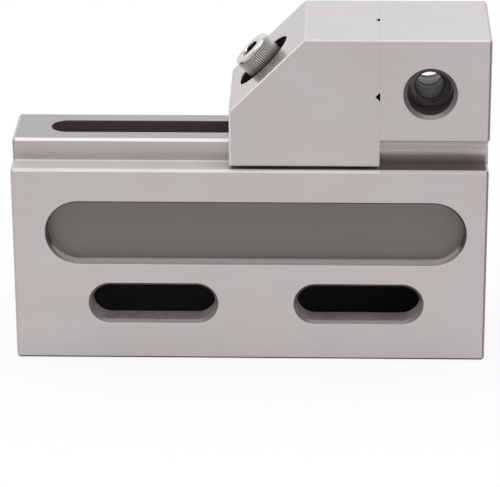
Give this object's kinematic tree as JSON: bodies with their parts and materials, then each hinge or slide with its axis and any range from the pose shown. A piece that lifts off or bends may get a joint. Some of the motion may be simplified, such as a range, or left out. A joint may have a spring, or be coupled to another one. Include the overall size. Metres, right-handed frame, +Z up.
{
  "type": "wire edm vise",
  "caption": "Ground steel precision vise with side clamping slots, a sliding jaw on a rail and a slanted screw that pulls the jaw down and forward.",
  "frame": {"origin": "centre of the body's footprint, on the surface it stands on", "axes": "+X along the rail towards the fixed jaw, +Y from the front face to the back face, +Z up"},
  "size_m": [0.15, 0.04, 0.108],
  "materials": {
    "ground_steel_body": "ground",
    "ground_steel_jaw": "ground",
    "nickel_screw": "satin nickel",
    "black_washer": "black oxide",
    "black_nut": "black oxide"
  },
  "bodies": {
    "body": {"vise_body": "ground_steel_body"},
    "jaw": {"movable_jaw": "ground_steel_jaw"},
    "swivel": {"ball_washer": "black_washer"},
    "screw": {"clamp_screw": "nickel_screw"},
    "nut": {"cross_nut": "black_nut"}
  },
  "joints": [
    {"name": "jaw_slide", "type": "slide", "parent": "body", "child": "jaw", "axis": [-1, 0, 0], "range_m": [0, 0.08]},
    {"name": "screw_swing", "type": "hinge", "parent": "jaw", "child": "swivel", "pos_m": [0.0056, 0, 0.09312], "axis": [0, 1, 0], "range_deg": [0, 5]},
    {"name": "screw_turn", "type": "hinge", "parent": "swivel", "child": "screw", "pos_m": [0.0056, 0, 0.09312], "axis": [0.7071, 0, -0.7071], "range_deg": [-360, 1440]},
    {"name": "nut_travel", "type": "slide", "parent": "swivel", "child": "nut", "axis": [-0.7071, 0, 0.7071], "range_m": [-0.00125, 0.005]}
  ],
  "couplings": [
    {"joint": "screw_turn", "follows": "nut_travel", "rad_per_m": 5026.5}
  ]
}
